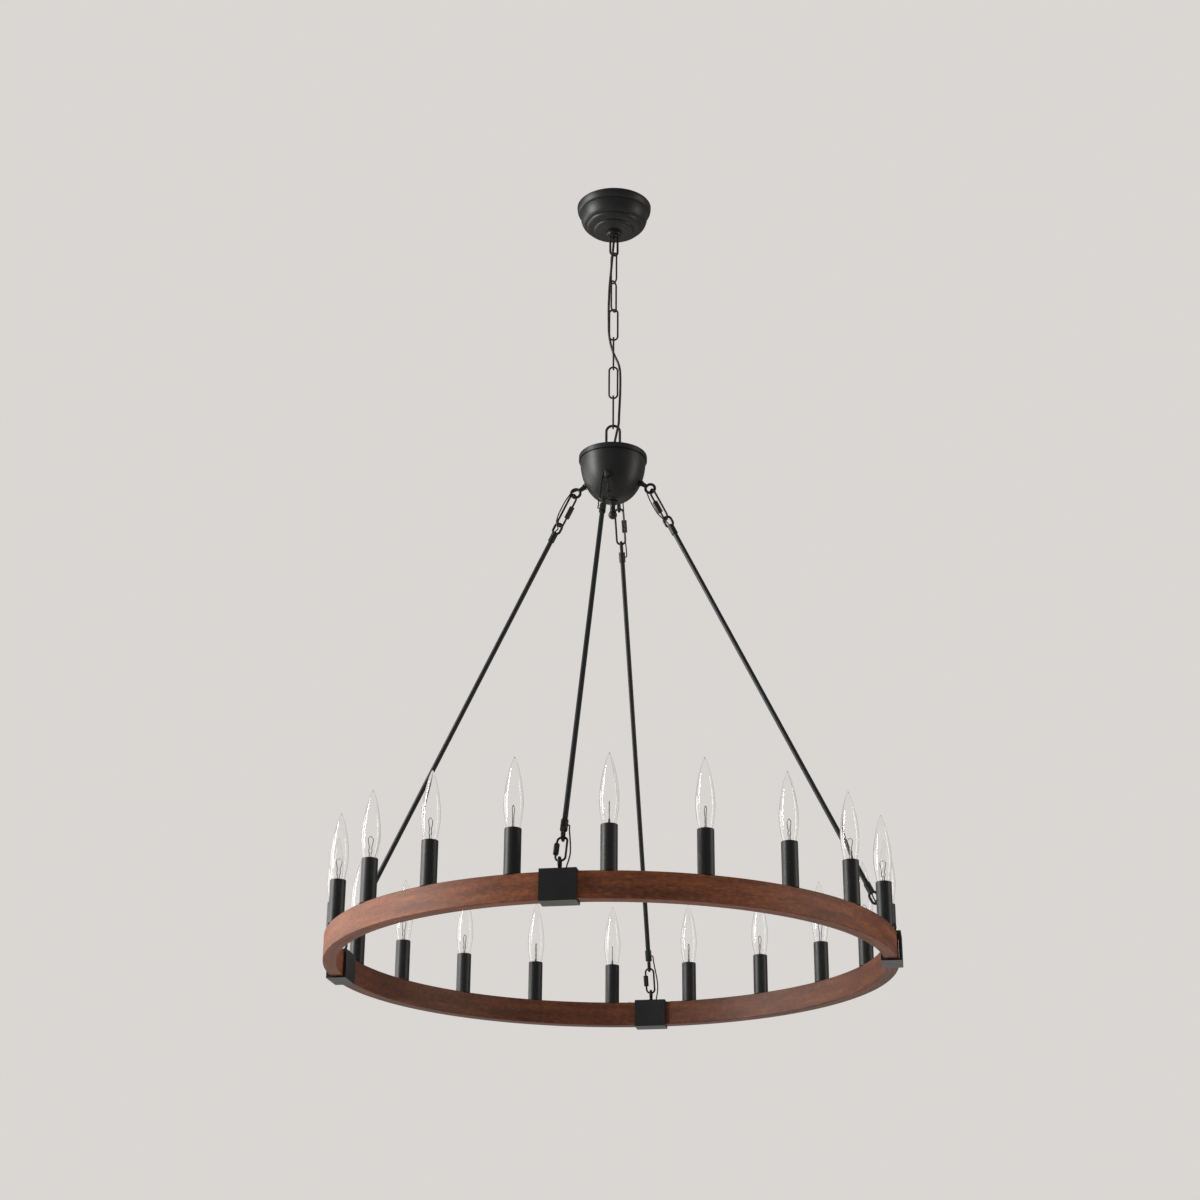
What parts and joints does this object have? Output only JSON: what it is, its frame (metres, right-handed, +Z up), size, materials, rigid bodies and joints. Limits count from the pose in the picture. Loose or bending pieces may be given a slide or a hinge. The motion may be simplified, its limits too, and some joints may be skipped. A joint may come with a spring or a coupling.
{
  "type": "wagon wheel chandelier",
  "caption": "Wooden ring of candle lamps with black bulb sleeves, hung by steel rods from a domed hub, a chain and a stepped ceiling canopy",
  "frame": {"origin": "On the ceiling, on the chain's axis, at the middle of the two ceiling screws", "axes": "+Z up, out of the ceiling face; the first arm towards -Y, the second towards +X; the crossbar along X"},
  "size_m": [0.911, 0.911, 1.4226],
  "materials": {
    "black_metal": "satin powder coat",
    "zinc_steel": "zinc plated",
    "dark_screw": "blackened",
    "walnut_wood": "satin oil",
    "socket_black": "moulded",
    "clear_glass": "clear",
    "black_cord": "satin sheath"
  },
  "bodies": {
    "ceiling_mount": {"crossbar": "zinc_steel", "ceiling_screws": "zinc_steel", "threaded_nipple": "zinc_steel", "canopy_loop": "black_metal", "supply_cord": "black_cord"},
    "canopy_cover": {"canopy": "black_metal", "canopy_collar": "black_metal"},
    "link_6": {"chain_link_6": "black_metal"},
    "link_5": {"chain_link_5": "black_metal"},
    "link_4": {"chain_link_4": "black_metal"},
    "link_3": {"chain_link_3": "black_metal"},
    "link_2": {"chain_link_2": "black_metal"},
    "link_1": {"chain_link_1": "black_metal"},
    "hub": {"hub_loop": "black_metal", "hub_lid": "black_metal", "hub_bowl": "black_metal", "hub_tie_rod": "zinc_steel", "finial": "black_metal", "hub_eyes": "black_metal", "upper_wires": "black_cord"},
    "arm_1": {"quick_link_1": "black_metal", "rod_1": "black_metal"},
    "arm_2": {"quick_link_2": "black_metal", "rod_2": "black_metal"},
    "arm_3": {"quick_link_3": "black_metal", "rod_3": "black_metal"},
    "arm_4": {"quick_link_4": "black_metal", "rod_4": "black_metal"},
    "ring": {"rim_segment_1": "walnut_wood", "rim_segment_2": "walnut_wood", "rim_segment_3": "walnut_wood", "rim_segment_4": "walnut_wood", "brackets": "black_metal", "bracket_eyes": "black_metal", "bracket_screws": "dark_screw", "lower_links": "black_metal", "rim_covers": "black_metal", "lamp_sockets": "socket_black", "candle_sleeves": "black_metal", "lower_wires": "black_cord"},
    "lamp_01": {"bulb_01": "clear_glass"},
    "lamp_02": {"bulb_02": "clear_glass"},
    "lamp_03": {"bulb_03": "clear_glass"},
    "lamp_04": {"bulb_04": "clear_glass"},
    "lamp_05": {"bulb_05": "clear_glass"},
    "lamp_06": {"bulb_06": "clear_glass"},
    "lamp_07": {"bulb_07": "clear_glass"},
    "lamp_08": {"bulb_08": "clear_glass"},
    "lamp_09": {"bulb_09": "clear_glass"},
    "lamp_10": {"bulb_10": "clear_glass"},
    "lamp_11": {"bulb_11": "clear_glass"},
    "lamp_12": {"bulb_12": "clear_glass"},
    "lamp_13": {"bulb_13": "clear_glass"},
    "lamp_14": {"bulb_14": "clear_glass"},
    "lamp_15": {"bulb_15": "clear_glass"},
    "lamp_16": {"bulb_16": "clear_glass"},
    "lamp_17": {"bulb_17": "clear_glass"},
    "lamp_18": {"bulb_18": "clear_glass"},
    "lamp_19": {"bulb_19": "clear_glass"},
    "lamp_20": {"bulb_20": "clear_glass"}
  },
  "joints": [
    {"name": "canopy_slide", "type": "slide", "parent": "ceiling_mount", "child": "canopy_cover", "axis": [0, 0, 1], "range_m": [-0.025, 0]},
    {"name": "link_6_swing", "type": "hinge", "parent": "ceiling_mount", "child": "link_6", "pos_m": [0, 0, -0.0998], "axis": [0.8746, 0.4848, 0], "range_deg": [-15, 15], "deforming": ["supply_cord"]},
    {"name": "link_5_swing", "type": "hinge", "parent": "link_6", "child": "link_5", "pos_m": [0, 0, -0.1577], "axis": [-0.7547, 0.6561, 0], "range_deg": [-15, 15], "deforming": ["supply_cord"]},
    {"name": "link_4_swing", "type": "hinge", "parent": "link_5", "child": "link_4", "pos_m": [0, 0, -0.216], "axis": [0.4384, 0.8988, 0], "range_deg": [-15, 15], "deforming": ["supply_cord"]},
    {"name": "link_3_swing", "type": "hinge", "parent": "link_4", "child": "link_3", "pos_m": [0, 0, -0.2743], "axis": [0.9877, 0.1564, 0], "range_deg": [-15, 15], "deforming": ["supply_cord"]},
    {"name": "link_2_swing", "type": "hinge", "parent": "link_3", "child": "link_2", "pos_m": [0, 0, -0.3326], "axis": [-0.1564, 0.9877, 0], "range_deg": [-15, 15], "deforming": ["supply_cord"]},
    {"name": "link_1_swing", "type": "hinge", "parent": "link_2", "child": "link_1", "pos_m": [0, 0, -0.3909], "axis": [0.9877, 0.1564, 0], "range_deg": [-15, 15], "deforming": ["supply_cord"]},
    {"name": "hub_swing", "type": "hinge", "parent": "link_1", "child": "hub", "pos_m": [0, 0, -0.4492], "axis": [-0.1564, 0.9877, 0], "range_deg": [-15, 15], "deforming": ["supply_cord"]},
    {"name": "ring_twist", "type": "hinge", "parent": "hub", "child": "ring", "pos_m": [0, 0, -1.38], "axis": [0, 0, 1], "range_deg": [-4, 4], "stiffness_Nm_per_rad": 1.4, "deforming": ["upper_wires", "lower_wires"]},
    {"name": "arm_1_swing", "type": "hinge", "parent": "hub", "child": "arm_1", "pos_m": [0, -0.06846, -0.57821], "axis": [0, -0.9015, 0.4329], "range_deg": [-2.2, 2.2], "deforming": ["upper_wires", "lower_wires"]},
    {"name": "arm_2_swing", "type": "hinge", "parent": "hub", "child": "arm_2", "pos_m": [0.06846, 0, -0.57821], "axis": [0.9015, 0, 0.4329], "range_deg": [-2.2, 2.2], "deforming": ["upper_wires", "lower_wires"]},
    {"name": "arm_3_swing", "type": "hinge", "parent": "hub", "child": "arm_3", "pos_m": [0, 0.06846, -0.57821], "axis": [0, 0.9015, 0.4329], "range_deg": [-2.2, 2.2], "deforming": ["upper_wires", "lower_wires"]},
    {"name": "arm_4_swing", "type": "hinge", "parent": "hub", "child": "arm_4", "pos_m": [-0.06846, 0, -0.57821], "axis": [-0.9015, 0, 0.4329], "range_deg": [-2.2, 2.2], "deforming": ["upper_wires", "lower_wires"]},
    {"name": "lamp_01_lift", "type": "slide", "parent": "ring", "child": "lamp_01", "axis": [0, 0, 1], "range_m": [0, 0.022]},
    {"name": "lamp_02_lift", "type": "slide", "parent": "ring", "child": "lamp_02", "axis": [0, 0, 1], "range_m": [0, 0.022]},
    {"name": "lamp_03_lift", "type": "slide", "parent": "ring", "child": "lamp_03", "axis": [0, 0, 1], "range_m": [0, 0.022]},
    {"name": "lamp_04_lift", "type": "slide", "parent": "ring", "child": "lamp_04", "axis": [0, 0, 1], "range_m": [0, 0.022]},
    {"name": "lamp_05_lift", "type": "slide", "parent": "ring", "child": "lamp_05", "axis": [0, 0, 1], "range_m": [0, 0.022]},
    {"name": "lamp_06_lift", "type": "slide", "parent": "ring", "child": "lamp_06", "axis": [0, 0, 1], "range_m": [0, 0.022]},
    {"name": "lamp_07_lift", "type": "slide", "parent": "ring", "child": "lamp_07", "axis": [0, 0, 1], "range_m": [0, 0.022]},
    {"name": "lamp_08_lift", "type": "slide", "parent": "ring", "child": "lamp_08", "axis": [0, 0, 1], "range_m": [0, 0.022]},
    {"name": "lamp_09_lift", "type": "slide", "parent": "ring", "child": "lamp_09", "axis": [0, 0, 1], "range_m": [0, 0.022]},
    {"name": "lamp_10_lift", "type": "slide", "parent": "ring", "child": "lamp_10", "axis": [0, 0, 1], "range_m": [0, 0.022]},
    {"name": "lamp_11_lift", "type": "slide", "parent": "ring", "child": "lamp_11", "axis": [0, 0, 1], "range_m": [0, 0.022]},
    {"name": "lamp_12_lift", "type": "slide", "parent": "ring", "child": "lamp_12", "axis": [0, 0, 1], "range_m": [0, 0.022]},
    {"name": "lamp_13_lift", "type": "slide", "parent": "ring", "child": "lamp_13", "axis": [0, 0, 1], "range_m": [0, 0.022]},
    {"name": "lamp_14_lift", "type": "slide", "parent": "ring", "child": "lamp_14", "axis": [0, 0, 1], "range_m": [0, 0.022]},
    {"name": "lamp_15_lift", "type": "slide", "parent": "ring", "child": "lamp_15", "axis": [0, 0, 1], "range_m": [0, 0.022]},
    {"name": "lamp_16_lift", "type": "slide", "parent": "ring", "child": "lamp_16", "axis": [0, 0, 1], "range_m": [0, 0.022]},
    {"name": "lamp_17_lift", "type": "slide", "parent": "ring", "child": "lamp_17", "axis": [0, 0, 1], "range_m": [0, 0.022]},
    {"name": "lamp_18_lift", "type": "slide", "parent": "ring", "child": "lamp_18", "axis": [0, 0, 1], "range_m": [0, 0.022]},
    {"name": "lamp_19_lift", "type": "slide", "parent": "ring", "child": "lamp_19", "axis": [0, 0, 1], "range_m": [0, 0.022]},
    {"name": "lamp_20_lift", "type": "slide", "parent": "ring", "child": "lamp_20", "axis": [0, 0, 1], "range_m": [0, 0.022]}
  ],
  "couplings": [
    {"joint": "arm_1_swing", "follows": "ring_twist", "ratio": 0.517},
    {"joint": "arm_2_swing", "follows": "ring_twist", "ratio": 0.517},
    {"joint": "arm_3_swing", "follows": "ring_twist", "ratio": 0.517},
    {"joint": "arm_4_swing", "follows": "ring_twist", "ratio": 0.517}
  ]
}
